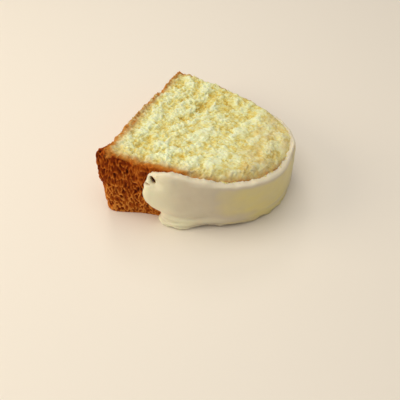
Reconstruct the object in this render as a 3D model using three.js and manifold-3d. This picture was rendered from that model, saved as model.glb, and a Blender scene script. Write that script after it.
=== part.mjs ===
// One slice of iced lemon bundt cake, lying on its lower cut face.
// Millimetres, +Z up. The cake's own axis lies along X: the baked base is the wall at low X
// and the iced crown is the round end at high X. The ring's outer wall faces -Y.
import * as THREE from "three";
import { ImprovedNoise } from "three/addons/math/ImprovedNoise.js";
import { mergeVertices } from "three/addons/utils/BufferGeometryUtils.js";
import Module from "manifold-3d";

// Section of the ring, in the plane of the upper cut
const BASE_WIDTH = 103; // outer wall to inner wall along the base
const CROWN_HEIGHT = 85; // base to the top of the crown
const CROWN_OFFSET = 49.5; // outer wall to the highest line of the crown
const OUTER_FULLNESS = 2.6; // power of the outer shoulder: 2 is an ellipse, more is squarer
const INNER_FULLNESS = 2.3;
const INNER_TAPER = 11.5; // the inner wall leans in, because the tin's funnel is conical
const OUTER_BASE_ROUND = 6; // radius of the corner between outer wall and base, low down
const OUTER_LIP_ROUND = 1.6; // the same corner higher up, where the crust has a lip
const LIP_FROM = 0.5; // shares of the height between which the lip sets in
const LIP_FULL = 0.7;
const INNER_BASE_ROUND = 1.6;
const CORNER_FLARE = 1.6; // the base stands out this far in its upper outer corner
const FLARE_WIDTH = 10;

// The wedge between the two cuts
const OUTER_THICKNESS = 40.5; // height of the outer wall
const WEDGE_ANGLE = THREE.MathUtils.degToRad(12);
const RING_RADIUS = 125; // the whole cake's outer radius
const WALL_LEAN = 3.8; // the outer wall's foot is set back this far, as the lower cut runs aslant
const BASE_SPREAD = 2; // beside the base it stands out this far instead
const LEAN_REACH = 28;

// Relief of the upper cut, where the knife dragged the crumb along Y
const DRAG_DEPTH = 0.8;
const DRAG_WIDTH = 8;
const DRAG_LENGTH = 20;
const DRAG_SEED = 0.3;
const CLUMP_DEPTH = 0.8;
const CLUMP_SIZE = 4.6;
const CLUMP_SEED = 7.1;
const RIM_DROP = 0.9; // the upper edge is rounded off by this much
const RIM_WIDTH = 4;
const BASE_RIM = 0.8; // but away from the outer wall the crust of the base stands up at its edge
const BASE_RIM_FROM = 30; // distances from the outer wall between which that sets in
const BASE_RIM_FULL = 50;
const CROWN_SLUMP = 3.6; // round the crown it slumps further, and the icing with it
const SLUMP_WIDTH = 11;
const SLUMP_FROM = 36; // distances from the base between which the slump sets in
const SLUMP_FULL = 68;
const SLUMP_FADE = 16; // past the crown it fades within this much
// Places where crumb came away: centre on the cut, half sizes along X and Y, and depth
const TORN_PLACES = [
  { x: 29, y: 70, alongX: 2.6, alongY: 12, depth: 2.3 }, // the long tear
  { x: 17.5, y: 24, alongX: 2.4, alongY: 2.8, depth: 1.6 },
  { x: 17, y: 50, alongX: 2.6, alongY: 3.0, depth: 1.4 },
  { x: 26, y: 51, alongX: 2.4, alongY: 3.4, depth: 1.5 },
  { x: 0, y: 18, alongX: 4.5, alongY: 8, depth: 1.2 }, // the worn edge of the base
  { x: 0, y: 75, alongX: 4.0, alongY: 3.0, depth: 2.6 }, // the chip out of the base
  { x: 22, y: 101, alongX: 5.0, alongY: 3.0, depth: 1.6 }, // crust lost from the inner wall
];
const PIT_DEPTH = 0.8; // pitting of the bare crust
const PIT_SIZE = 4.5;
const BARE_UNTIL = 24; // distance from the base up to which the crust is bare
const BARE_FADE = 6;

// Icing poured over the crown
const ICING_THICKNESS = 4.1; // at the upper cut
const ICING_FOOT_THICKNESS = 2.3; // at the lower cut
const ICING_CROWN_THICKNESS = 2.8; // on the top of the crown
const ICING_INNER_THICKNESS = 1.1; // where it runs out on the inner wall
const CROWN_THINNING = 24; // it thins within this much up to the crown
const INNER_THINNING = 28; // and within this much past the crown
const ICING_RIM_THICKNESS = 0.6; // at the very edge of the drip
const ICING_RIM_ROUND = 4;
const ICING_GAP = 0.3; // between icing and crust
const ICING_FLOOR_GAP = 0.5; // the lower cut of the icing stays this far off the ground
const ICING_LIP_DROP = 0.7; // its upper cut lies this far below the crumb
const DRIP_DROP = 2.6; // and lower by this much where the drip begins
const DRIP_DROP_REACH = 8;
const SHOULDER_RADIUS = 2.4; // its upper corner is round
const SHOULDER_SHARE = 0.55; // of its thickness there
const DRIP_EDGE = 33; // the icing's edge on the outer wall, from the base
// Round lobes of the drip: height above the ground, half height and how far they run
const LOBES = [
  { z: 22.2, reach: 9.8, length: 9.3 },
  { z: 35.5, reach: 5, length: 5.4 },
  { z: 0, reach: 6.5, length: 2.4 },
];
const INNER_EDGE = 60; // the icing's edge on the inner wall, from the base
const INNER_EDGE_WAVE = 6;
const FOOT_BULGE = 4.1; // where the icing was pressed out on the ground
const FOOT_X = 40.2;
const FOOT_WIDTH = 9;
const FOOT_HEIGHT = 11;
// Where the icing is open down to the crust, with the slant of the opening's length
const BUBBLE = { x: 30.6, z: 33.3, width: 2.6, height: 4.4, slant: -0.65 }; // a burst bubble
const NICK = { x: 27.6, z: 29.9, width: 4.8, height: 1.4, slant: 0 }; // between the lobes
const OPENING_PITCH = -0.7; // both lead down into the icing
const THIN_SHARE = 0.7; // round the bubble the icing is thinner by this share
const THIN_REACH = 4.5;

// Mesh steps
const CAKE_STEPS = { across: 46, along: 34, height: 8 };
const ICING_STEPS = { along: 52, through: 2, height: 22 };
const DRIP_CROWDING = 1.3; // the steps along the icing lie closer beside the drip
const CUT_MARGIN = 3; // the cake is made this much too tall below and then cut level
const CUTTER_SIDE = 400;
const OPENING_STEPS = { around: 12, height: 8 };
const BISECTIONS = 30;

const CRUMB_COLOUR = "#f1df96";
const ICING_COLOUR = "#efe7d2";

const { clamp, lerp, smoothstep } = THREE.MathUtils;
const gauss = (distance, reach) => Math.exp(-((distance / reach) ** 2));
const roundLobe = (distance, reach) => Math.exp(-((distance / reach) ** 4));
const perlin = new ImprovedNoise();
const wasm = await Module();
wasm.setup();

// The arch of the section from the outer base corner over the crown to the inner base corner,
// with x the distance from the base and y the distance in from the outer base corner.
class SectionArch extends THREE.Curve {
  getPoint(t, target = new THREE.Vector3()) {
    const angle = Math.PI * t;
    const outer = t <= 0.5;
    const power = 2 / (outer ? OUTER_FULLNESS : INNER_FULLNESS);
    const rise = Math.sin(angle) ** power;
    const reach = Math.abs(Math.cos(angle)) ** power;
    const innerHalf = BASE_WIDTH - CROWN_OFFSET - INNER_TAPER * rise;
    const offset = outer ? -CROWN_OFFSET * reach : innerHalf * reach;
    return target.set(CROWN_HEIGHT * rise, CROWN_OFFSET + offset, 0);
  }
}

const arch = new SectionArch();
arch.arcLengthDivisions = 800;
const archLength = arch.getLength();
const crownShare = arch.getLengths()[arch.arcLengthDivisions / 2] / archLength;
const archMiddle = new THREE.Vector3(0, CROWN_OFFSET, 0);

// Share of the arch's length at which it reaches a distance from the base, on one of the walls
function archShare(x, onInnerWall) {
  let low = onInnerWall ? 1 : 0;
  let high = crownShare;
  for (let i = 0; i < BISECTIONS; i++) {
    const middle = (low + high) / 2;
    if (arch.getPointAt(middle).x < x) low = middle;
    else high = middle;
  }
  return low;
}

function cutHeight(y) {
  return OUTER_THICKNESS - y * Math.tan(WEDGE_ANGLE);
}

// Share of the slump at a point of the arch
function slumpShare(point) {
  const past = smoothstep(point.y, CROWN_OFFSET - SLUMP_FADE / 2, CROWN_OFFSET + SLUMP_FADE / 2);
  return smoothstep(point.x, SLUMP_FROM, SLUMP_FULL) * (1 - past);
}

// A point of the section at a height above the ground. The walls follow circles round the ring's
// axis, so they bow out at half height, and the outer half leans with the lower cut.
function place(x, y, z) {
  const top = cutHeight(y);
  const radius = RING_RADIUS - y;
  const bow = radius - Math.sqrt(radius ** 2 - (z - top / 2) ** 2);
  const setBack = lerp(-BASE_SPREAD, WALL_LEAN, smoothstep(x, 0, LEAN_REACH));
  const outerShare = Math.max(0, 1 - y / CROWN_OFFSET);
  return new THREE.Vector3(x, y + bow + setBack * outerShare * (1 - z / top), z);
}

function crumbRelief(x, y) {
  const drag = perlin.noise(x / DRAG_WIDTH, y / DRAG_LENGTH, DRAG_SEED);
  const clump = perlin.noise(x / CLUMP_SIZE, y / CLUMP_SIZE, CLUMP_SEED);
  let relief = DRAG_DEPTH * drag + CLUMP_DEPTH * clump;
  for (const torn of TORN_PLACES) {
    const along = gauss(x - torn.x, torn.alongX) * gauss(y - torn.y, torn.alongY);
    relief -= torn.depth * along;
  }
  return relief;
}

// A geometry's shared corners, each moved by a function
function warp(geometry, move) {
  geometry.deleteAttribute("normal");
  geometry.deleteAttribute("uv");
  const merged = mergeVertices(geometry);
  const corners = merged.getAttribute("position");
  const corner = new THREE.Vector3();
  for (let i = 0; i < corners.count; i++) {
    const moved = move(corner.fromBufferAttribute(corners, i));
    corners.setXYZ(i, moved.x, moved.y, moved.z);
  }
  return merged;
}

const unmoved = (corner) => corner;

function solidOf(geometry) {
  const vertProperties = geometry.getAttribute("position").array;
  const triVerts = new Uint32Array(geometry.index.array);
  return new wasm.Manifold(new wasm.Mesh({ numProp: 3, vertProperties, triVerts }));
}

function geometryOf(solid) {
  const { vertProperties, triVerts } = solid.getMesh();
  const geometry = new THREE.BufferGeometry();
  geometry.setAttribute("position", new THREE.BufferAttribute(vertProperties, 3));
  geometry.setIndex(new THREE.BufferAttribute(triVerts, 1));
  geometry.computeVertexNormals();
  return geometry;
}

// Sponge and crust: a subdivided box whose square section is drawn out into the arch
function cakeCorner(corner) {
  const side = 2 * corner.x; // 1 on the outer wall, -1 on the inner wall
  const up = corner.y + 0.5; // 0 on the base, 1 on the crown
  const share = corner.z + 0.5; // 0 below the ground, 1 on the upper cut
  const discX = side * Math.sqrt(1 - up ** 2 / 2);
  const discY = up * Math.sqrt(1 - side ** 2 / 2);
  const radius = Math.min(1, Math.hypot(discX, discY));
  const rim = arch.getPoint(Math.atan2(discY, discX) / Math.PI);
  const flat = archMiddle.clone().lerp(rim, radius);
  const inwards = archMiddle.clone().sub(rim).normalize();
  const fromWall = (1 - radius) * rim.distanceTo(archMiddle);

  // The square corner beside the base becomes a quarter circle.
  const outerRound = lerp(OUTER_BASE_ROUND, OUTER_LIP_ROUND, smoothstep(share, LIP_FROM, LIP_FULL));
  const round = side > 0 ? outerRound : INNER_BASE_ROUND;
  const nearBase = Math.max(0, 1 - flat.x / round);
  const nearWall = Math.max(0, 1 - fromWall / round);
  flat.x += round * nearBase * (1 - Math.sqrt(1 - nearWall ** 2 / 2));
  const pulledIn = round * nearWall * (1 - Math.sqrt(1 - nearBase ** 2 / 2));

  const onBase = 1 - smoothstep(flat.x, 0, RIM_WIDTH);
  const onWall = 1 - smoothstep(fromWall, 0, RIM_WIDTH);
  const raised = smoothstep(flat.y, BASE_RIM_FROM, BASE_RIM_FULL);
  const rounded = RIM_DROP * Math.max(onBase * (1 - raised), onWall) ** 2;
  const drop = rounded - BASE_RIM * raised * onBase ** 2;
  const slump = CROWN_SLUMP * slumpShare(rim) * (1 - smoothstep(fromWall, 0, SLUMP_WIDTH)) ** 2;
  const top = cutHeight(flat.y) + crumbRelief(flat.x, flat.y) - drop - slump;
  const z = lerp(-CUT_MARGIN, top, share);

  const bare = 1 - smoothstep(flat.x, BARE_UNTIL - BARE_FADE, BARE_UNTIL);
  const lump = perlin.noise(flat.x / PIT_SIZE, flat.y / PIT_SIZE, z / PIT_SIZE);
  const pit = PIT_DEPTH * (0.5 - lump / 2);
  flat.addScaledVector(inwards, pulledIn + pit * onWall * bare);
  const flare = CORNER_FLARE * share * gauss(flat.y, FLARE_WIDTH);
  flat.x += (pit - flare) * onBase;
  return place(flat.x, flat.y, z);
}

function makeCake() {
  const { across, along, height } = CAKE_STEPS;
  const blank = new THREE.BoxGeometry(1, 1, 1, across, along, height);
  const cutter = new THREE.BoxGeometry(CUTTER_SIDE, CUTTER_SIDE, CUTTER_SIDE);
  cutter.translate(0, 0, -CUTTER_SIDE / 2);
  const body = solidOf(warp(blank, cakeCorner));
  return geometryOf(body.subtract(solidOf(warp(cutter, unmoved))));
}

// Distance from the base to the icing's edge on the outer wall, at a height
function dripEdge(z) {
  const lobes = LOBES.map((lobe) => lobe.length * roundLobe(z - lobe.z, lobe.reach));
  return DRIP_EDGE - lobes.reduce((sum, length) => sum + length, 0);
}

// How thick the icing lies at a point of the arch and a height
function icingThickness(point, z, top, fromRim) {
  const rise = lerp(ICING_FOOT_THICKNESS, ICING_THICKNESS, smoothstep(z, 0, top));
  const crown = smoothstep(point.y, CROWN_OFFSET - CROWN_THINNING, CROWN_OFFSET);
  const inner = smoothstep(point.y, CROWN_OFFSET, CROWN_OFFSET + INNER_THINNING);
  const crowned = lerp(rise, Math.min(rise, ICING_CROWN_THICKNESS), crown);
  const foot = FOOT_BULGE * gauss(point.x - FOOT_X, FOOT_WIDTH) * gauss(z, FOOT_HEIGHT);
  const body = lerp(crowned, ICING_INNER_THICKNESS, inner) + foot;

  const nearTop = clamp(1 - (top - z) / SHOULDER_RADIUS, 0, 1);
  const shoulder = 1 - SHOULDER_SHARE * (1 - Math.sqrt(1 - nearTop ** 2));
  const nearRim = clamp(1 - fromRim / ICING_RIM_ROUND, 0, 1);
  const drip = Math.sqrt(1 - nearRim ** 2);
  const fromBubble = Math.hypot(point.x - BUBBLE.x, z - BUBBLE.z);
  const thin = point.y < CROWN_OFFSET ? 1 - THIN_SHARE * gauss(fromBubble, THIN_REACH) : 1;
  return Math.max(ICING_RIM_THICKNESS, body * shoulder * drip * thin);
}

// Icing: a box bent along the arch, from the drip on the outer wall over the crown to the inner wall
function icingCorner(corner) {
  const path = (corner.x + 0.5) ** DRIP_CROWDING; // 0 at the drip, 1 at the inner edge
  const outside = 0.5 - corner.y; // 1 on the outer skin, 0 beside the crust
  const share = (1 - Math.cos(Math.PI * (corner.z + 0.5))) / 2; // rows lie closer at both cuts
  const wave = INNER_EDGE_WAVE * Math.sin(1.5 * Math.PI * share);
  const start = archShare(dripEdge(share * OUTER_THICKNESS), false);
  const end = archShare(INNER_EDGE - wave, true);
  const at = lerp(start, end, path);
  const point = arch.getPointAt(at);
  const tangent = arch.getTangentAt(at);
  const outwards = new THREE.Vector3(tangent.y, -tangent.x, 0);

  const fromDrip = (at - start) * archLength;
  const fromRim = Math.min(fromDrip, (end - at) * archLength);
  const drop = ICING_LIP_DROP + DRIP_DROP * (1 - smoothstep(fromDrip, 0, DRIP_DROP_REACH));
  const top = cutHeight(point.y) - drop - CROWN_SLUMP * slumpShare(point);
  const z = lerp(ICING_FLOOR_GAP, top, share);
  const thickness = icingThickness(point, z, top, fromRim);
  const wall = place(point.x, point.y, z);
  return wall.addScaledVector(outwards, ICING_GAP + thickness * outside);
}

function makeIcing() {
  const { along, through, height } = ICING_STEPS;
  const blank = new THREE.BoxGeometry(1, 1, 1, along, through, height);
  let skin = solidOf(warp(blank, icingCorner));
  for (const { x, z, width, height, slant } of [BUBBLE, NICK]) {
    const hole = new THREE.SphereGeometry(1, OPENING_STEPS.around, OPENING_STEPS.height)
      .scale(width / 2, 2 * ICING_THICKNESS, height / 2)
      .rotateY(slant)
      .rotateX(OPENING_PITCH)
      .translate(x, arch.getPointAt(archShare(x, false)).y, z);
    skin = skin.subtract(solidOf(warp(hole, unmoved)));
  }
  return geometryOf(skin);
}

function nodeMesh(name, geometry, color, roughness) {
  const material = new THREE.MeshStandardMaterial({ color, roughness, metalness: 0 });
  const mesh = new THREE.Mesh(geometry, material);
  mesh.name = name;
  return mesh;
}

const slice = new THREE.Group();
slice.add(nodeMesh("cake", makeCake(), CRUMB_COLOUR, 0.9));
slice.add(nodeMesh("icing", makeIcing(), ICING_COLOUR, 0.45));

// The origin is under the middle of the slice, on the ground.
const middle = new THREE.Box3().setFromObject(slice).getCenter(new THREE.Vector3());
for (const mesh of slice.children) mesh.position.set(-middle.x, -middle.y, 0);

export default slice;
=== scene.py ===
# %% [markdown]
# # A slice of iced lemon bundt cake
#
# The slice lies on one of its cut faces. Its two solids, the cake and the icing, come from the CAD
# model at their real size. This lesson keeps their form and adds what the eye looks for in cake: a
# torn, grainy crumb, a pitted brown crust and smooth poured icing.

# %% Load the solids
import math
import random

import bmesh
import bpy
from mathutils import Matrix, Vector, kdtree, noise


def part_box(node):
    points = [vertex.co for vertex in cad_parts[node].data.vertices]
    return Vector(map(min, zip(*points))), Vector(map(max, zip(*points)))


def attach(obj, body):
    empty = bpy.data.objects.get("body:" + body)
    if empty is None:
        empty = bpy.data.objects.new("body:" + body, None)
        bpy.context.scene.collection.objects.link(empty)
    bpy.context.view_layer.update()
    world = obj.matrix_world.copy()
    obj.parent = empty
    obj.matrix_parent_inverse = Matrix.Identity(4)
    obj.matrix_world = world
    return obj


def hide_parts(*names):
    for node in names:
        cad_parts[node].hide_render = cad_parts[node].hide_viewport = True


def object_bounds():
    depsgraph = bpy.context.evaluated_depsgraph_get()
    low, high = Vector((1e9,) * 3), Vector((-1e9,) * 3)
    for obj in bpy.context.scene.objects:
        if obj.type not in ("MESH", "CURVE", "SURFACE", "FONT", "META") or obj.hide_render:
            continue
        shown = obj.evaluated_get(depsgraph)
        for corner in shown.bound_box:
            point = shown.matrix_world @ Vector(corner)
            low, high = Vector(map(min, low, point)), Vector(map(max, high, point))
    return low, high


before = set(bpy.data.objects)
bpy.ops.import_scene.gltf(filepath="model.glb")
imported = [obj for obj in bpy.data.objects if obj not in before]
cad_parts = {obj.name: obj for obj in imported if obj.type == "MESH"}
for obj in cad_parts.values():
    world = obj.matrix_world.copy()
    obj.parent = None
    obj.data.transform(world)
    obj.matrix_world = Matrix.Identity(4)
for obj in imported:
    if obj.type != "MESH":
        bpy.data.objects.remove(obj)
cad_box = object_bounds()
MM = 0.001  # Blender works in metres, and the sizes below are in millimetres
cake_low, cake_high = (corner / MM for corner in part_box("cake"))
icing_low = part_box("icing")[0] / MM
print("cake box in mm:", [round(v, 1) for v in (*cake_low, *cake_high)])

# %% [markdown]
# ## An even net to sculpt
#
# The CAD solids are made of triangles 2 mm across, too coarse for crumb. They could be subdivided,
# but then the new net would keep the old triangles' long thin shapes. A voxel remesh instead wraps
# the solid in even small quads, which take fine relief equally well everywhere.

# %% Copy a solid as an even net
WELD = 0.001  # corners closer than this are one


def even_net(node, name, spacing):
    """A new object with a CAD solid's form, as a net of quads with this spacing in mm."""
    bm = bmesh.new()
    bm.from_mesh(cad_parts[node].data)
    bmesh.ops.remove_doubles(bm, verts=bm.verts, dist=WELD * MM)
    mesh = bpy.data.meshes.new(name)
    bm.to_mesh(mesh)
    bm.free()
    piece = bpy.data.objects.new(name, mesh)
    bpy.context.scene.collection.objects.link(piece)
    net = piece.modifiers.new("even net", "REMESH")
    net.mode = "VOXEL"
    net.voxel_size = spacing * MM
    wrapped = piece.evaluated_get(bpy.context.evaluated_depsgraph_get())
    piece.data = bpy.data.meshes.new_from_object(wrapped)
    piece.modifiers.clear()
    print(name, "has", len(piece.data.polygons), "quads")
    return piece


# %% [markdown]
# ## Soft steps
#
# A voxel net still shows the facets of the solid inside it. Relaxing takes them away: each vertex
# goes half way towards the middle of its neighbours, and more rounds smooth wider forms. Patterns
# need soft borders too. A ramp fades one in along a measure, and a bell keeps it near one place.


# %% Relax, ramp and bell
def smooth(bm, rounds, verts=None):
    """Relaxes vertices of a bmesh, or all of them, towards their neighbours a few times."""
    for _ in range(rounds):
        bmesh.ops.smooth_vert(
            bm,
            verts=verts or bm.verts,
            factor=0.5,
            use_axis_x=True,
            use_axis_y=True,
            use_axis_z=True,
        )
    bm.normal_update()


def ramp(value, low, high):
    """0 below low, 1 above high, and a smooth S between them."""
    t = min(1.0, max(0.0, (value - low) / (high - low)))
    return t * t * (3 - 2 * t)


def bell(distance, size):
    """1 at a distance of 0, a third at the size, and hardly anything at twice the size."""
    return math.exp(-((distance / size) ** 2))


# %% [markdown]
# ## The sponge and its flat underside
#
# The slice lies on its underside, which is never seen closely. Its small quads are joined into
# patches as large as a thumbnail, which leaves the triangles for the crumb on top.

# %% Make the sponge's net
CAKE_SPACING = 0.47  # about as fine as 200,000 triangles allow
FLOOR_SNAP = 0.3  # a vertex lower than this lies on the floor
PATCH = 8.0
sponge = even_net("cake", "sponge", CAKE_SPACING)
bm = bmesh.new()
bm.from_mesh(sponge.data)
smooth(bm, rounds=2)
for vert in bm.verts:
    if vert.co.z < FLOOR_SNAP * MM:
        vert.co.z = 0
patches = {}
for face in bm.faces:
    if all(vert.co.z == 0 for vert in face.verts):
        centre = face.calc_center_median() / MM
        patches.setdefault((centre.x // PATCH, centre.y // PATCH), []).append(face)
for patch in patches.values():
    bmesh.ops.dissolve_faces(bm, faces=patch, use_verts=False)
spare = [vert for vert in bm.verts if vert.co.z == 0 and len(vert.link_edges) == 2]
bmesh.ops.dissolve_verts(bm, verts=spare)
bm.normal_update()
print("the underside has", len(patches), "patches, the whole net", len(bm.faces), "faces")

# %% [markdown]
# ## How deep under the crust, and how far off the cut?
#
# Browning and crumb depend on how far a point of the cut is from the baked skin. The skin is every
# part of the net that stands upright, and a tree of its points finds the nearest one quickly, whatever
# the outline. The second measure is a point's height over the knife's plane: a plane through all the
# upward faces, found as a line of best fit because the cut only tilts along Y.

# %% Measure depth and plane
UPRIGHT = 0.35  # a wall's normal rises or falls less than this
UPWARD = 0.8  # the normal of a face of the cut rises more than this
wall = [vert for vert in bm.verts if abs(vert.normal.z) < UPRIGHT]
skin = kdtree.KDTree(len(wall))
for number, vert in enumerate(wall):
    skin.insert(vert.co, number)
skin.balance()
depth = [skin.find(vert.co)[2] / MM for vert in bm.verts]

cut = [vert.co / MM for vert in bm.verts if vert.normal.z > UPWARD]
mean_y = sum(point.y for point in cut) / len(cut)
mean_z = sum(point.z for point in cut) / len(cut)
spread = sum((point.y - mean_y) ** 2 for point in cut)
slope = sum((point.y - mean_y) * (point.z - mean_z) for point in cut) / spread


def above_cut(point):
    """Height of a point over the knife's plane, in mm."""
    return point.z - mean_z - slope * (point.y - mean_y)


print("the cut falls by", round(-math.degrees(math.atan(slope)), 1), "degrees")

# %% [markdown]
# ## Grains and holes
#
# A knife doesn't slice this crumb, it tears it into grains, with pores between them. Modelling each
# grain would take days. Cell noise gives rounded grains of a chosen size instead: the distance to the
# nearest cell point is small on a grain and large in the gaps. A slow noise bends the pattern, so that
# no two grains look alike. Noise vectors follow the clock unless a seed is set, and a seed was picked
# whose flakes lie well.

# %% Patterns for crumb and crust
SEED = 6
noise.seed_set(SEED)
SHUFFLE = 9.7  # spreads the cell points, so that each gets a random value of its own
GRAIN_TOP = 0.4
GRAIN_FALL = 1.3


def bent(point, *bends):
    """A point moved by noise. Each bend is a reach and a wavelength in mm."""
    moved = point.copy()
    for reach, wavelength in bends:
        moved += reach * noise.noise_vector(point / wavelength)
    return moved


def lumps(point, *sizes):
    """Noise in mm. Each size is a height and a wavelength in mm."""
    return sum(height * noise.noise(point / wavelength) for height, wavelength in sizes)


def grains(point, size, uneven):
    """Rounded grains of a size in mm, each lifted or sunk by a share of its own."""
    near, centres = noise.voronoi(point / size)
    return GRAIN_TOP - GRAIN_FALL * near[0] ** 2 + uneven * noise.cell(centres[0] * SHUFFLE)


def holes(point, spacing, radius):
    """Round holes about a spacing in mm apart: 1 in the middle of one, 0 outside."""
    near = noise.voronoi(point / spacing)[0][0] * spacing
    return max(0.0, 1 - (near / radius) ** 2)


# %% [markdown]
# ## Crumb in relief
#
# Four sizes make the torn crumb: flakes that were pulled up, clumps, grains and grit. Flakes, clumps
# and pores are drawn out along the knife's way, nearly along Y. Grains and grit aren't, but they stand
# higher in some patches than in others, and highest beside the base. A single size would look like
# gravel, and the four together look torn. Each size is followed by its height or depth, all in mm.

# %% Torn crumb
KNIFE = Vector((0.2, 0.98, 0.0))  # the knife's way: along Y, and a little towards the crown
ACROSS = Vector((0.98, -0.2, 0.0))
DRAWN_OUT = 2.0  # how much longer things are along the knife's way
FLAKE, FLAKE_HEIGHT = 5.0, 0.5
FLAKE_SUNK = 0.2  # the crumb between flakes lies this much lower
FLAKE_FOOT, FLAKE_TOP = -0.02, 0.2  # values of the noise where a flake starts and where it is full
TATTER, TATTERED = 1.3, 0.4  # size and share of the tatters at a flake's edge
CLUMP, CLUMP_HEIGHT = 3.6, 0.4
GRAIN, GRAIN_HEIGHT = 2.0, 0.8
GRIT, GRIT_HEIGHT = 1.1, 0.7
PORE, PORE_DEPTH = 5.5, 0.9
PORE_RADIUS = 1.5
PORE_SHIFT = Vector((31, 7, 3))  # keeps the pores off the pattern of the clumps
ROUGHEST = 1.1  # share of the grains' and the grit's height beside the base
SMOOTHER = 0.35  # and how much of it is lost between these two places along X
SMOOTHER_FROM, SMOOTHER_TO = -30.0, 10.0
ROUGH_PATCH, ROUGH_CHANGE = 7.0, 0.8


def torn_crumb(point):
    """Height of the torn crumb above the cut, in mm, and the share of a flake on top of it."""
    warped = bent(point, (1.5, 5.0), (0.5, 1.6))
    drawn = Vector((warped.dot(ACROSS), warped.dot(KNIFE) / DRAWN_OUT, warped.z))
    tatter = TATTERED * noise.noise(warped / TATTER)
    flake = ramp(noise.noise(drawn / FLAKE) + tatter, FLAKE_FOOT, FLAKE_TOP)
    height = FLAKE_HEIGHT * flake - FLAKE_SUNK + CLUMP_HEIGHT * grains(drawn, CLUMP, uneven=0.3)
    rough = ROUGHEST - SMOOTHER * ramp(point.x, SMOOTHER_FROM, SMOOTHER_TO)
    rough += ROUGH_CHANGE * noise.noise(point / ROUGH_PATCH)
    fine = GRAIN_HEIGHT * grains(warped, GRAIN, uneven=0.35)
    fine += GRIT_HEIGHT * grains(warped, GRIT, uneven=0.3)
    height += rough * fine
    return height - PORE_DEPTH * holes(drawn + PORE_SHIFT, PORE, PORE_RADIUS), flake


# %% [markdown]
# ## Crust in relief
#
# The crust is the reverse of the crumb: a skin that set against the tin, with furrows and with pores
# that burst while it baked. They are longer along the height of the slice. Each cell of the noise
# becomes one pore with a strength of its own, so some are only dimples. Where two cell points are
# equally near, the skin is left standing, and that makes a net of thin ridges. The furrows run where a
# second noise is far from 0, and break up the net, which would look too regular by itself.

# %% Pores and furrows of the crust
FURROW, FURROW_SHARE = 1.5, 0.4
PIT, PIT_SHARE = 1.6, 0.6
PIT_STRETCH = 3.0  # how much longer both are along Z


def pores(point, size):
    """Pores of a size in mm with ridges between: 0 on a ridge, up to 1 in the middle of a pore."""
    near, centres = noise.voronoi(point / size)
    strength = 0.75 + 0.25 * noise.cell(centres[0] * SHUFFLE)
    return strength * ramp(near[1] - near[0], 0.05, 0.6)


def crust_pit(point):
    """How deep a point of the crust lies in a pore: 0 on the skin, 1 at the bottom."""
    warped = bent(point, (0.7, 3.0), (0.2, 1.1))
    drawn = Vector((warped.x, warped.y, warped.z / PIT_STRETCH))
    furrow = ramp(abs(noise.noise(drawn / FURROW)), 0.02, 0.35)
    return min(1.0, FURROW_SHARE * furrow + PIT_SHARE * pores(drawn, PIT))


# %% [markdown]
# ## How far the browning reaches
#
# The wall of the tin is hottest, so gold and orange reach a few millimetres into the cut beside the
# outer wall, and most of all in the corner of the base. Under the icing the crumb is only tan, because
# it baked more gently there. One colour for the wall and one for the cut would leave a hard line, so
# the browning is a number that falls off with the depth, at a pace that depends on the place.

# %% Depth of the browning
CORNER = Vector((cake_low.x, cake_low.y + 4.0))  # where the base meets the outer wall
BARE_END = 34.0  # from here on, measured from the base, icing covers the outer wall
BARE_BLUR = 10.0
FRONT, INNER = 30.0, 50.0  # from the outer wall: its heat is full up to here, and gone from here
REACH = 1.0  # how deep the browning goes anywhere, in mm
REACH_FRONT = 2.2  # and what is added at the outer wall,
REACH_BARE = 0.2  # where that wall is bare,
REACH_CROWN = 1.6  # where it turns to the crown,
REACH_CORNER = 4.0  # and in the corner of the base
REACH_CHANGE = 0.8  # more or less in patches
REACH_BASE, BASE_FALL = 1.4, 3.0  # what the base adds, and how soon that fades
BASE_CHANGE, BASE_GRAIN = 1.6, 2.2
INNER_FALL = 16.0  # along the inner wall 1 mm is added near the base, and it fades over this length


def browning_reach(point, corner, crown, patchy):
    """Depth in mm at which the browning has faded to a third."""
    from_base = point.x - cake_low.x
    bare = 1 - ramp(from_base, BARE_END - BARE_BLUR, BARE_END + BARE_BLUR)
    front = 1 - ramp(point.y - cake_low.y, FRONT, INNER)
    reach = REACH + (REACH_FRONT + REACH_BARE * bare + REACH_CROWN * crown) * front
    reach += REACH_CORNER * corner + REACH_CHANGE * patchy
    at_base = REACH_BASE + BASE_CHANGE * noise.noise(point / BASE_GRAIN)
    reach += math.exp(-from_base / BASE_FALL) * at_base
    return reach + bell(from_base, INNER_FALL) * (1 - front)


# %% [markdown]
# ## The rim of the base
#
# The base was the open top in the oven, and its rim rose and browned. Where the knife went through,
# the rim is worn to a mottled tan, and only its two corners keep the full colour of the crust.

# %% Rim and worn edge
FAR_CORNER = Vector((cake_low.x, cake_high.y))  # where the base meets the inner wall
RIM_INNER, RIM_OUTER = 0.9, 3.0  # depth over which the rim fades
RIM_START, RIM_END = 4.0, 7.0  # and the distance from the base
RIM_BROWN, RIM_CORNERS = 0.66, 0.3  # browning of the rim, and how much more its corners have
RIM_DEEPER = 1.5  # the rim goes this much deeper in the corners
RIM_GRAIN = 2.0
WORN = 0.6  # share of the browning that the knife took off
WORN_CHANGE, WORN_GRAIN = 0.3, 1.5
WORN_START, WORN_END = 5.0, 8.0  # distance from the base over which the worn edge ends


def base_rim(point, deep, corner, far):
    """Share of the browning on the rim of the base."""
    inwards = deep + noise.noise(point / RIM_GRAIN) - RIM_DEEPER * far - RIM_DEEPER * corner
    rim = 1 - ramp(inwards, RIM_INNER, RIM_OUTER)
    rim *= 1 - ramp(point.x - cake_low.x, RIM_START, RIM_END)
    return rim * (RIM_BROWN + RIM_CORNERS * max(far, corner))


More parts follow.
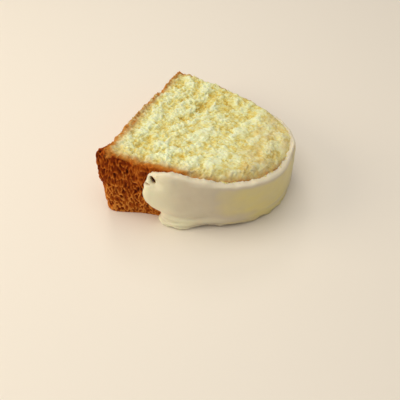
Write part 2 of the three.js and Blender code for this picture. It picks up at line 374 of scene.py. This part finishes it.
def worn_limit(point, facing_up, corner, far):
    """The most browning that the knife left on the upper side of the base's edge."""
    worn = ramp(facing_up, 0.2, 0.6) * (1 - ramp(point.x - cake_low.x, WORN_START, WORN_END))
    worn *= 1 - max(far, corner)
    return 1.0 - (WORN + WORN_CHANGE * noise.noise(point / WORN_GRAIN)) * worn


# %% [markdown]
# ## Browning, put together
#
# At each point the strongest of three counts: the browning that comes in from the skin, the rim of the
# base, and a slight tan of the dense crumb beside the crown. Adding them up would make their meeting
# places too dark. The worn edge then sets a limit.

# %% Browning at a point
CORNER_SIZE, FAR_CORNER_SIZE = 10.0, 4.0
CROWN_START, CROWN_FULL = 34.0, 12.0  # distance from the crown's end
PATCHY = 4.0
DENSE = 0.2  # the crumb beside the crown is dense and a little tan all through
UNDER_ICING = 0.57  # share of the browning that is missing under the icing
COVER_START, COVER_FULL = BARE_END - 8.0, BARE_END + 30.0
SPOT, SPOTTED = 3.0, 0.4
LEAST_REACH = 0.3


def browning(point, deep, facing_up):
    """Share of the browning at a depth in mm under the crust: 1 on the bare crust."""
    corner = bell((point.xy - CORNER).length, CORNER_SIZE)
    far = bell((point.xy - FAR_CORNER).length, FAR_CORNER_SIZE)
    crown = ramp(point.x, cake_high.x - CROWN_START, cake_high.x - CROWN_FULL)
    patchy = noise.noise(point / PATCHY)
    covered = ramp(point.x - cake_low.x, COVER_START, COVER_FULL)
    strength = (1.0 - UNDER_ICING * covered) * (1 + SPOTTED * noise.noise(point / SPOT))
    reach = max(LEAST_REACH, browning_reach(point, corner, crown, patchy))
    dense = DENSE * crown * (0.8 + 0.6 * patchy)
    brown = max(dense, base_rim(point, deep, corner, far), strength * math.exp(-deep / reach))
    return min(brown, worn_limit(point, facing_up, corner, far))


# %% [markdown]
# ## Crumb and crust, place by place
#
# The two patterns aren't the same everywhere. The crumb beside the crown is denser, so its relief is
# calmer and has fewer flakes, and at the skin all relief fades out. The crust darkens upwards, and has
# an orange band right under the cut. Its pores are painted darker, as shade in them.

# %% Crumb and crust at a vertex
CALM_START, CALM_FULL = 42.0, 14.0  # distance from the crown's end
CALM_SHARE = 0.6  # share of the relief that is left there
TORN_START, TORN_FULL = 0.1, 1.3  # depth over which the relief sets in
TORN_LATER = 3.0  # it takes so much longer at the crown
FLAKES_START, FLAKES_FULL = 1.0, 6.0  # depth over which the flakes set in at the crown
DARKER_UP, MIDDLE_HEIGHT = 0.008, 22.0  # the crust darkens by this for each mm of height
ORANGE, ORANGE_BAND = 0.6, 2.5  # share of a pore's darkness that is lost, and the band's height
ORANGE_START, ORANGE_FULL = 12.0, 26.0  # distance from the base


def calm_crumb(point, deep):
    """Height of the crumb in mm and the share of a flake, with the calmer crumb at the crown."""
    calm = ramp(point.x, cake_high.x - CALM_START, cake_high.x - CALM_FULL)
    torn = ramp(deep, TORN_START, TORN_FULL + TORN_LATER * calm)
    if torn == 0:
        return 0.0, 0.0
    height, flake = torn_crumb(point)
    height *= torn * (1 - (1 - CALM_SHARE) * calm)
    return height, flake * (1 - calm * (1 - ramp(deep, FLAKES_START, FLAKES_FULL)))


def crust_darkness_and_pore_shade(point, pit):
    """Tone of the crust from a pore's depth, painted darker as shade, its height and the band under the
    cut.
    """
    orange = math.exp(min(0.0, above_cut(point)) / ORANGE_BAND)
    orange *= ramp(point.x - cake_low.x, ORANGE_START, ORANGE_FULL)
    return pit * (1 - ORANGE * orange) + DARKER_UP * (point.z - MIDDLE_HEIGHT)


# %% [markdown]
# ## Raising the crumb, pitting the crust
#
# Every vertex moves along its normal: out on the crumb, in at a pore of the crust. A displacement
# modifier could do this, but then the material couldn't know what was raised. So the script moves the
# vertices itself and keeps three numbers for each of them, which the material reads as attributes:
# the crumb's relief, the crust's tone and the browning. The first two paint shade into the colour:
# hollows, tears and pores come out darker, and raised crumb paler.

# %% Raise the crumb, pit the crust
GROUND = 0.2  # vertices below this stay on the floor
PIT_DEPTH = 0.9
PIT_FULL, PIT_GONE = 0.2, 2.4  # depth under the skin over which the pores fade
BROWN_ENOUGH = 0.2  # crumb that is paler than this has no crust
FLAKE_TONE, TEAR_PAINTED_SHADE = 0.8, 0.6  # how much paler a flake is, and how much painted shade darkens a tear
TEAR_START, TEAR_FULL = 4.0, 12.0  # depth over which tears start to count
LEAST_RELIEF = -1.0
relief_and_painted_shade, pore_shaded_tones, browned, moves = [], [], [], []
for vert, deep in zip(bm.verts, depth):
    point = vert.co / MM
    height, flake = calm_crumb(point, deep) if vert.normal.z > 0 else (0.0, 0.0)
    brown = browning(point, deep, vert.normal.z)
    pit = crust_pit(point) if brown > BROWN_ENOUGH else 0.0
    rise = height - PIT_DEPTH * pit * (1 - ramp(deep, PIT_FULL, PIT_GONE))
    moves.append(vert.normal * (rise if point.z > GROUND else 0.0) * MM)
    # Painted shade: hollows, and tears below the knife's plane, are coloured darker, and raised crumb
    # paler.
    tear = TEAR_PAINTED_SHADE * ramp(deep, TEAR_START, TEAR_FULL) * above_cut(point)
    relief_and_painted_shade.append(max(LEAST_RELIEF, height + FLAKE_TONE * flake + tear))
    # The crust's tone darkens in the pores, as painted shade.
    pore_shaded_tones.append(crust_darkness_and_pore_shade(point, pit))
    browned.append(brown)
for vert, move in zip(bm.verts, moves):
    vert.co += move
    vert.co.z = max(0.0, vert.co.z)
bm.to_mesh(sponge.data)
bm.free()
for name, values in (("relief_and_painted_shade", relief_and_painted_shade), ("pit", pore_shaded_tones), ("browning", browned)):
    layer = sponge.data.attributes.new(name, "FLOAT", "POINT")
    layer.data.foreach_set("value", values)
print("crumb relief from", round(min(relief_and_painted_shade), 2), "to", round(max(relief_and_painted_shade), 2), "mm")

# %% [markdown]
# ## The icing
#
# Icing is poured, so it is smooth and round, and shows no facets. The remeshed solid is relaxed until
# they are gone, and its shoulder beside the cut still longer, because set icing has no sharp edge. The
# burst bubble and the nick beside it are left out of this, because they would close.

# %% Make the icing's net
ICING_SPACING = 0.42
SHOULDER = 5.0  # depth of the shoulder under the knife's plane
OPENINGS = icing_low + Vector((5.5, 0.0, 32.0))  # between the burst bubble and the nick
OPENINGS_RADIUS = 6.0
icing = even_net("icing", "icing_skin", ICING_SPACING)
bm = bmesh.new()
bm.from_mesh(icing.data)
smooth(bm, rounds=1)
plain = [vert for vert in bm.verts if (vert.co / MM - OPENINGS).length > OPENINGS_RADIUS]
smooth(bm, 30, plain)
smooth(bm, 50, [vert for vert in plain if above_cut(vert.co / MM) > -SHOULDER])
print(len(bm.verts) - len(plain), "vertices round the openings keep their form")

# %% [markdown]
# ## How the icing ran
#
# Three marks show that the icing was liquid: slow waves, faint level streaks low on the wall where it
# ran and set in layers, and creases where its foot was pressed out into a bulge. The foot itself is
# ragged. Layers could be modelled as loops of edges, but noise that is stretched along the wall and
# squeezed in height gives long uneven layers by itself.

# %% Waves, streaks, creases and the foot
RUN = 17.0  # height up to which the streaks show
FOOT_FULL, FOOT_END = 0.5, 3.5  # height up to which the foot is ragged
BULGE_X = icing_low.x + 16.5  # where the foot was pressed out
CREASED = 13.0  # how far along from the bulge the creases show
CREASE_FULL, CREASE_END = 6.0, 11.0  # and up to which height


def layers(point, length, thickness, slant):
    """Noise in long layers of a thickness in mm, which fall a little towards the crown."""
    height = (point.z + slant * point.x) / thickness
    return noise.noise(Vector((point.x / length, point.y / length, height)))


def streaks(point):
    """Level streaks of the lower wall, from -1 to 1."""
    return layers(point, length=24, thickness=3.4, slant=0.12) * (1 - ramp(point.z, 0.5 * RUN, RUN))


def creases(point):
    """1 in a crease of the pressed foot, 0 away from it."""
    crease = 1 - ramp(abs(layers(point, length=26, thickness=3.0, slant=0.06)), 0.0, 0.14)
    return crease * bell(point.x - BULGE_X, CREASED) * (1 - ramp(point.z, CREASE_FULL, CREASE_END))


def ragged_foot(point):
    """How far the foot stands out or in, in mm."""
    return lumps(point, (0.7, 1.9), (0.9, 5.0)) * (1 - ramp(point.z, FOOT_FULL, FOOT_END))


# %% [markdown]
# ## Shoulder and bubble
#
# The torn crumb rose above the solid, so the icing's shoulder is lifted to meet it, by an uneven
# amount, because the knife smeared it. The burst bubble lost some of its width in the remesh, and its
# two sides are pushed apart again.

# %% Shoulder and bubble
LIFT = 1.5
LIFT_CHANGE, SMEAR = 0.9, 5.0  # the lift changes by this over the length of a smear
LIFT_START, LIFT_FULL = -9.0, -1.0  # height over the knife's plane
BUBBLE = icing_low + Vector((7.0, 0.0, 33.2))
BUBBLE_ACROSS = Vector((0.84, 0.0, 0.54))  # the bubble is long and slants, and this is its short way
BUBBLE_WIDER = 0.6  # each side is pushed out by up to this
BUBBLE_SIZE, BUBBLE_MIDDLE = 2.6, 0.4


def shoulder_lift(point):
    """How far the icing beside the cut is lifted, in mm."""
    lift = LIFT + LIFT_CHANGE * noise.noise(point / SMEAR)
    return lift * ramp(above_cut(point), LIFT_START, LIFT_FULL)


def bubble_opening(point):
    """The move in mm that opens the burst bubble."""
    aside = (point - BUBBLE).dot(BUBBLE_ACROSS)
    off = math.hypot(point.x - BUBBLE.x, point.z - BUBBLE.z)
    return BUBBLE_WIDER * aside / (abs(aside) + BUBBLE_MIDDLE) * bell(off, BUBBLE_SIZE) * BUBBLE_ACROSS


# %% [markdown]
# ## Where the icing is white
#
# Thick icing is white, and thin icing lets the yellow of the sponge through. It is thickest in the
# drip and in the bulge of the foot, and thinnest over the crown. The whiteness also holds painted light
# and shade: the whiter drip and foot stand partly for light bounced from the floor and the left lamp,
# the greyer wall towards the crown partly for shade, and faces that look up are kept less white, as
# painted shade on the lit shoulder. As with the sponge, a number for each vertex keeps this for the
# material. Streaks and creases change it a little, as their painted shading, so that they also show in
# soft light.

# %% Whiteness at a point
# Size of the whiter patch over the bulge, which is partly painted bounce light.
BULGE_WIDE, BULGE_HIGH = 10.0, 11.0
DRIP_FULL, DRIP_END = icing_low.x + 4, icing_low.x + 26
THIN_START, THIN_FULL = icing_low.x + 32, icing_low.x + 52
# Faces that look up get less white: painted shade on the lit shoulder.
DRIP_WHITE, DRIP_TOP_SHADE_LOSS = 0.8, 0.7
TOP_SHADED_WHITE = 0.08
THIN_AND_SHADE_LOSS = 0.4
# Painted shading of the streaks, and painted shade in the creases.
STREAK_PAINTED_SHADING, CREASE_PAINTED_SHADE = 0.5, 0.5


def white_and_painted_light(point, facing_up):
    """Whiteness of the icing with painted light and shade: 1 on the thick, brightened drip and foot, 0
    and below on the thin, shaded wall.
    """
    up = ramp(facing_up, 0.1, 0.95)
    bulge = bell(point.x - BULGE_X, BULGE_WIDE) * bell(point.z, BULGE_HIGH)
    drip = 1 - ramp(point.x, DRIP_FULL, DRIP_END)
    thin = ramp(point.x, THIN_START, THIN_FULL) * (1 - up)
    white = max(bulge, DRIP_WHITE * drip * (1 - DRIP_TOP_SHADE_LOSS * up), TOP_SHADED_WHITE * up)
    return white - THIN_AND_SHADE_LOSS * thin + STREAK_PAINTED_SHADING * streaks(point) - CREASE_PAINTED_SHADE * creases(point)


# %% [markdown]
# ## Clinging to the crust
#
# Real icing clings to the cake. The side of the icing that faces the crust is therefore pushed into
# it, unevenly, and only the outer side gets the waves, streaks, creases and the ragged foot.

# %% Move the icing
CLING = 1.2
CLING_CHANGE, CLING_GRAIN = 0.9, 2.6
FACES_CRUST = 0.7  # a normal that turns this far towards the crust is on the inner side
STREAK_HEIGHT, CREASE_DEPTH = 1.3, 0.6
OFF_FLOOR = 0.15
moves, whiteness_and_painted_light = [], []
for vert in bm.verts:
    point = vert.co / MM
    to_crust = (skin.find(vert.co)[0] - vert.co).normalized()
    inside = ramp(vert.normal.dot(to_crust), 0.0, FACES_CRUST)
    cling = CLING * (1 + CLING_CHANGE * noise.noise(point / CLING_GRAIN))
    rise = lumps(point, (0.5, 11.0), (0.12, 3.5))
    rise += STREAK_HEIGHT * abs(streaks(point)) - CREASE_DEPTH * creases(point) + ragged_foot(point)
    move = to_crust * cling * inside + vert.normal * rise * (1 - inside) + bubble_opening(point)
    move.z += shoulder_lift(point)
    moves.append(move * MM)
    whiteness_and_painted_light.append(white_and_painted_light(point, vert.normal.z))
for vert, move in zip(bm.verts, moves):
    vert.co += move
smooth(bm, 1, plain)
for vert in bm.verts:
    vert.co.z = max(OFF_FLOOR * MM, vert.co.z)
bm.normal_update()
print("whiteness from", round(min(whiteness_and_painted_light), 2), "to", round(max(whiteness_and_painted_light), 2))

# %% [markdown]
# ## The icing's upper edge
#
# Loose crumbs will lie where the icing meets the cut. That edge could be drawn by hand as a curve, but
# the finished net knows it better: it is every vertex on the outer half that faces up and lies right
# beside the skin of the cake.

# %% Find the icing's upper edge
BESIDE_CRUMB = 0.9
LEVEL = 0.5  # the edge's normal rises more than this
ledge = []
for vert in bm.verts:
    beside_crumb = skin.find(vert.co)[2] < BESIDE_CRUMB * MM
    if vert.normal.z > LEVEL and vert.co.y < 0 and beside_crumb:
        ledge.append(vert.co.copy())
bm.to_mesh(icing.data)
bm.free()
layer = icing.data.attributes.new("whiteness_and_painted_light", "FLOAT", "POINT")
layer.data.foreach_set("value", whiteness_and_painted_light)
print("the icing's upper edge has", len(ledge), "points beside the crumb")

# %% [markdown]
# ## Loose crumbs
#
# The knife left crumbs on the icing's upper edge, beside the crumb that they came from. Each is a small
# ball with few faces, stretched, turned and dented by noise, with its middle on the icing, so that it
# is half sunk in. They lie in small heaps, so a tree of the edge's points finds each heap's places.

# %% Scatter the crumbs
HEAPS = 12
HEAP_CRUMBS = 4
HEAP_POINTS = 60  # so many points of the edge take up a heap
SMALLEST, LARGEST = 0.25, 0.6
DENT, DENT_SIZE = 0.6, 0.7
random.seed(11)
edge = kdtree.KDTree(len(ledge))
for number, spot in enumerate(ledge):
    edge.insert(spot, number)
edge.balance()
bm = bmesh.new()
for _ in range(HEAPS):
    around = edge.find_n(random.choice(ledge), HEAP_POINTS)
    for spot, _, _ in random.sample(around, HEAP_CRUMBS):
        size = random.uniform(SMALLEST, LARGEST) * MM
        turn = Matrix.Rotation(random.uniform(0, math.tau), 4, "Z")
        stretch = Matrix.Diagonal((random.uniform(0.9, 1.5), random.uniform(0.7, 1.1), 0.8, 1.0))
        made = bmesh.ops.create_icosphere(
            bm, subdivisions=2, radius=size, matrix=Matrix.Translation(spot) @ turn @ stretch
        )["verts"]
        for vert in made:
            vert.co += (vert.co - spot) * DENT * noise.noise(vert.co / (DENT_SIZE * MM))
bm.normal_update()
crumbs_mesh = bpy.data.meshes.new("crumbs")
bm.to_mesh(crumbs_mesh)
bm.free()
crumbs = bpy.data.objects.new("crumbs", crumbs_mesh)
bpy.context.scene.collection.objects.link(crumbs)
print(HEAPS * HEAP_CRUMBS, "crumbs with", len(crumbs_mesh.polygons), "faces in all")

# %% [markdown]
# ## Materials
#
# Colours are picked as sRGB hex values, as a paint program shows them, and turned to the linear
# values that the shader works in. One small function adds a node and links it, so that each material
# below reads as a list of what it is made of.


# %% Helpers for the materials
def linear(hex_colour):
    """An sRGB hex colour as linear red, green, blue and alpha."""
    channels = [int(hex_colour[i : i + 2], 16) / 255 for i in (1, 3, 5)]
    return (*((c / 12.92 if c <= 0.04045 else ((c + 0.055) / 1.055) ** 2.4) for c in channels), 1.0)


def add(tree, kind, inputs=None, stops=(), **settings):
    """Adds a node, sets its properties and colour stops, and sets or links its inputs."""
    made = tree.nodes.new(kind)
    for name, value in settings.items():
        setattr(made, name, value)
    for number, (place, colour) in enumerate(stops):
        ends = made.color_ramp.elements  # a new ramp has two stops already
        stop = ends[number] if number < 2 else ends.new(place)
        stop.position = place
        stop.color = linear(colour)
    for name, value in (inputs or {}).items():
        if isinstance(value, bpy.types.NodeSocket):
            tree.links.new(value, made.inputs[name])
        else:
            made.inputs[name].default_value = value
    return made


def new_material(name):
    """An empty node material and its tree."""
    material = bpy.data.materials.new(name)
    material.use_nodes = True
    material.node_tree.nodes.clear()
    return material, material.node_tree


# %% [markdown]
# ## Baked sponge: the crumb
#
# Lemon sponge is a foam of egg, flour and butter. Its colour holds painted shade and light: hollows
# are painted a deeper gold, for shade and for light glowing between the grains, and the torn tips are
# painted palest. The tone is a sum of a mottling a few millimetres wide, a fine grit and the relief of
# the net, which carries that painted shade, and a colour ramp turns it from gold to cream.

# %% Sponge material: the crumb
MOTTLE, MOTTLE_SHARE = 3.0, 1.45
FINE_GRIT, GRIT_SHARE = 0.8, 0.4
RELIEF_SHADE_SHARE, TONE_SHIFT = 0.25, -0.46
material, tree = new_material("baked sponge with crust")
place = add(tree, "ShaderNodeTexCoord").outputs["Object"]
relief_shade_value = add(tree, "ShaderNodeAttribute", attribute_name="relief_and_painted_shade").outputs["Fac"]
mottle = add(
    tree,
    "ShaderNodeTexNoise",
    {"Vector": place, "Scale": 1 / (MOTTLE * MM), "Detail": 4.0, "Roughness": 0.65},
).outputs["Fac"]
fine = add(
    tree,
    "ShaderNodeTexNoise",
    {"Vector": place, "Scale": 1 / (FINE_GRIT * MM), "Detail": 3.0},
).outputs["Fac"]
crumb_tone_and_shade = TONE_SHIFT
for part, share in ((relief_shade_value, RELIEF_SHADE_SHARE), (fine, GRIT_SHARE), (mottle, MOTTLE_SHARE)):
    crumb_tone_and_shade = add(
        tree, "ShaderNodeMath", {0: part, 1: share, 2: crumb_tone_and_shade}, operation="MULTIPLY_ADD"
    ).outputs[0]
# Low tones from hollows and tears turn gold as painted shade, high ones pale as painted light on tips.
crumb_colour = add(
    tree,
    "ShaderNodeValToRGB",
    {"Fac": crumb_tone_and_shade},
    stops=[(0.1, "#cdac48"), (0.35, "#dfd07e"), (0.6, "#e5e4aa"), (0.9, "#ebf0c8")],
).outputs["Color"]

# %% [markdown]
# ## Baked sponge: browning and crust
#
# Towards the skin sugar and egg browned in the heat: cream turns to tan, gold and at last the orange
# and dark red-brown of the crust, whose pores are painted darkest, as shade in them. Two ramps of the
# browning mix these in, one after the other: first the toasted crumb, then the crust.

# %% Sponge material: the crust and the browning between
UNEVEN_SHARE, UNEVEN_SHIFT = -0.5, 0.25
pit_shade_value = add(tree, "ShaderNodeAttribute", attribute_name="pit").outputs["Fac"]
browning_value = add(tree, "ShaderNodeAttribute", attribute_name="browning").outputs["Fac"]
uneven = add(
    tree,
    "ShaderNodeMath",
    {0: mottle, 1: UNEVEN_SHARE, 2: UNEVEN_SHIFT},
    operation="MULTIPLY_ADD",
).outputs[0]
crust_tone_and_pore_shade = add(
    tree, "ShaderNodeMath", {0: pit_shade_value, 1: uneven}, operation="ADD"
).outputs[0]
# The darker stops colour the pores, as painted shade.
crust_colour = add(
    tree,
    "ShaderNodeValToRGB",
    {"Fac": crust_tone_and_pore_shade},
    stops=[(0.0, "#d98a38"), (0.2, "#ae560e"), (0.5, "#7e2e00"), (0.95, "#3c0800")],
).outputs["Color"]
toast_colour = add(
    tree,
    "ShaderNodeValToRGB",
    {"Fac": browning_value},
    stops=[(0.15, "#d6b67c"), (0.34, "#c09a60"), (0.5, "#c8883a")],
).outputs["Color"]
baked = crumb_colour
for start, full, colour in ((0.05, 0.38, toast_colour), (0.4, 0.85, crust_colour)):
    share = add(
        tree,
        "ShaderNodeValToRGB",
        {"Fac": browning_value},
        stops=[(start, "#000000"), (full, "#ffffff")],
    ).outputs["Color"]
    baked = add(
        tree, "ShaderNodeMix", {"Factor": share, 6: baked, 7: colour}, data_type="RGBA"
    ).outputs[2]

# %% [markdown]
# ## Baked sponge: the surface
#
# Sponge is matt, with hardly any shine. The grit is finer than the net, so a bump adds it. A little
# light goes through the grains and comes out redder, which softens the shadows.

# %% Sponge material: the surface
bump = add(
    tree,
    "ShaderNodeBump",
    {"Height": fine, "Strength": 0.5, "Distance": 0.25 * MM},
).outputs["Normal"]
shader = add(
    tree,
    "ShaderNodeBsdfPrincipled",
    {
        "Base Color": baked,
        "Roughness": 0.75,
        "Normal": bump,
        "Subsurface Weight": 0.15,
        "Subsurface Radius": (1.0, 0.7, 0.35),
        "Subsurface Scale": 1.2 * MM,
        "Specular IOR Level": 0.07,
    },
).outputs["BSDF"]
add(tree, "ShaderNodeOutputMaterial", {"Surface": shader})
for piece in (sponge, crumbs):
    piece.data.materials.append(material)
print(material.name, "has", len(tree.nodes), "nodes")

# %% [markdown]
# ## Set icing
#
# Icing of sugar and lemon juice sets to a dense white paste. Light goes a few millimetres into it and
# comes out warmer, so its edges look soft and its shadows creamy. The whiteness of the net, with its
# painted light and shade, and a slow cloudiness choose the colour, from the yellow of thin icing through
# a greyer beige, which is painted shade, to warm white.

# %% Icing material: the colour
CLOUD, CLOUD_SHARE = 14.0, 0.5
WHITE_SHARE, WHITE_SHIFT = 0.75, 0.25
material, tree = new_material("set sugar icing")
place = add(tree, "ShaderNodeTexCoord").outputs["Object"]
cloud = add(
    tree,
    "ShaderNodeTexNoise",
    {"Vector": place, "Scale": 1 / (CLOUD * MM), "Detail": 3.0},
).outputs["Fac"]
white_and_light_value = add(tree, "ShaderNodeAttribute", attribute_name="whiteness_and_painted_light").outputs["Fac"]
cloudy = add(
    tree, "ShaderNodeMath", {0: cloud, 1: CLOUD_SHARE, 2: white_and_light_value}, operation="MULTIPLY_ADD"
).outputs[0]
shifted = add(
    tree, "ShaderNodeMath", {0: cloudy, 1: WHITE_SHARE, 2: WHITE_SHIFT}, operation="MULTIPLY_ADD"
).outputs[0]
# The greyer middle stop is painted shade.
icing_colour = add(
    tree,
    "ShaderNodeValToRGB",
    {"Fac": shifted},
    stops=[(0.1, "#e8da94"), (0.36, "#d9cdb4"), (1.0, "#fbf5d4")],
).outputs["Color"]

# %% [markdown]
# ## Set icing: the surface
#
# The surface dried in the air to a satin with a faint grain of sugar, which is so low that a bump is
# enough. The strong scattering below it is what tells icing from plaster.

# %% Icing material: the surface
SUGAR = 1.5  # coarser than real sugar, which would be too fine to show
sugar = add(
    tree,
    "ShaderNodeTexNoise",
    {"Vector": place, "Scale": 1 / (SUGAR * MM), "Detail": 2.0},
).outputs["Fac"]
bump = add(
    tree,
    "ShaderNodeBump",
    {"Height": sugar, "Strength": 0.15, "Distance": 0.2 * MM},
).outputs["Normal"]
shader = add(
    tree,
    "ShaderNodeBsdfPrincipled",
    {
        "Base Color": icing_colour,
        "Roughness": 0.42,
        "Normal": bump,
        "Subsurface Weight": 0.5,
        "Subsurface Radius": (1.0, 0.8, 0.55),
        "Subsurface Scale": 2.5 * MM,
        "Specular IOR Level": 0.4,
    },
).outputs["BSDF"]
add(tree, "ShaderNodeOutputMaterial", {"Surface": shader})
icing.data.materials.append(material)
print(material.name, "has", len(tree.nodes), "nodes")

# %% [markdown]
# ## Joining the pieces to the model
#
# The sponge and the icing skin stand in for the two solids, which stay for the physics. The crumbs are
# new. All of them move with the slice's one body.

# %% Hand the pieces to the frame
for piece, slot in ((sponge, "cake"), (crumbs, "cake"), (icing, "icing")):
    piece.data.shade_smooth()
    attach(piece, "root")
    print(piece.name, "rides on root with the finish of", slot)
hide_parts("cake")
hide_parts("icing")

# %% [markdown]
# ## Floor
#
# The floor is plain, pale and matt. It carries the slice's shadow, and its bounce fills the iced front
# with soft light from below.

# %% Floor
FLOOR_SIZE = 3.0  # metres, so that its edge stays out of view
bm = bmesh.new()
bmesh.ops.create_grid(bm, x_segments=1, y_segments=1, size=FLOOR_SIZE)
floor_mesh = bpy.data.meshes.new("floor")
bm.to_mesh(floor_mesh)
bm.free()
floor = bpy.data.objects.new("floor", floor_mesh)
bpy.context.scene.collection.objects.link(floor)
material, tree = new_material("plain pale floor")
shader = add(
    tree, "ShaderNodeBsdfPrincipled", {"Base Color": linear("#f2eadc"), "Roughness": 0.6}
).outputs["BSDF"]
add(tree, "ShaderNodeOutputMaterial", {"Surface": shader})
floor.data.materials.append(material)
print("the floor is", 2 * FLOOR_SIZE, "m wide")

# %% [markdown]
# ## Light
#
# One broad lamp hangs nearly above the slice: it models the crumb, makes the icing's shoulder its
# brightest band and leaves the iced front in soft shade. A smaller warm lamp from the left lights the
# bare crust and the drip, so that the icing gets darker towards the crown. A weak lamp from behind
# draws the far edge of the cut. A sun would be simpler, but its shadows are too hard for a room.


# %% Lamps and room
def lamp(name, place, side, watts, colour):
    """A square lamp with a side in metres that faces the middle of the slice."""
    data = bpy.data.lights.new(name, "AREA")
    data.size = side
    data.energy = watts
    data.color = linear(colour)[:3]
    made = bpy.data.objects.new(name, data)
    made.location = place
    middle = (cad_box[0] + cad_box[1]) / 2
    made.rotation_euler = (Vector(place) - middle).to_track_quat("Z", "Y").to_euler()
    bpy.context.scene.collection.objects.link(made)
    print(name, "gives", watts, "W")


lamp("ceiling lamp", place=(-0.08, -0.08, 0.80), side=0.8, watts=4.1, colour="#fffaf2")
lamp("back light", place=(-0.36, 0.43, 0.66), side=0.24, watts=0.8, colour="#fff6e8")
lamp("left fill", place=(-0.6, -0.3, 0.35), side=0.4, watts=2.3, colour="#fff2dc")
world = bpy.data.worlds.new("room")
world.use_nodes = True
room = world.node_tree.nodes["Background"].inputs
room["Color"].default_value = linear("#e9e6e6")
room["Strength"].default_value = 0.3
bpy.context.scene.world = world
bpy.context.scene.view_settings.view_transform = "Standard"

# %% [markdown]
# ## Camera
#
# The camera looks down on the cut from the front, as one looks at a slice of cake from a chair. Its
# place is given by two angles and a distance, which are easier to change than three coordinates.

# %% Camera
AZIMUTH = math.radians(21.67)  # turned from the front towards the crown
ELEVATION = math.radians(48.75)
DISTANCE = 310.4
TARGET = Vector((6.0, -36.15, 12.0))
LENS = 54  # with the 36 mm sensor, the frame is two thirds as wide as it is far
NEAREST = 10.0  # nothing closer than this is drawn
back = Vector(
    (
        math.sin(AZIMUTH) * math.cos(ELEVATION),
        -math.cos(AZIMUTH) * math.cos(ELEVATION),
        math.sin(ELEVATION),
    )
)
camera = bpy.data.objects.new("camera", bpy.data.cameras.new("camera"))
camera.data.lens = LENS
camera.data.clip_start = NEAREST * MM
camera.location = (TARGET + back * DISTANCE) * MM
camera.rotation_euler = back.to_track_quat("Z", "Y").to_euler()
bpy.context.scene.collection.objects.link(camera)
bpy.context.scene.camera = camera
print("the camera stands at", [round(v, 3) for v in camera.location], "m")
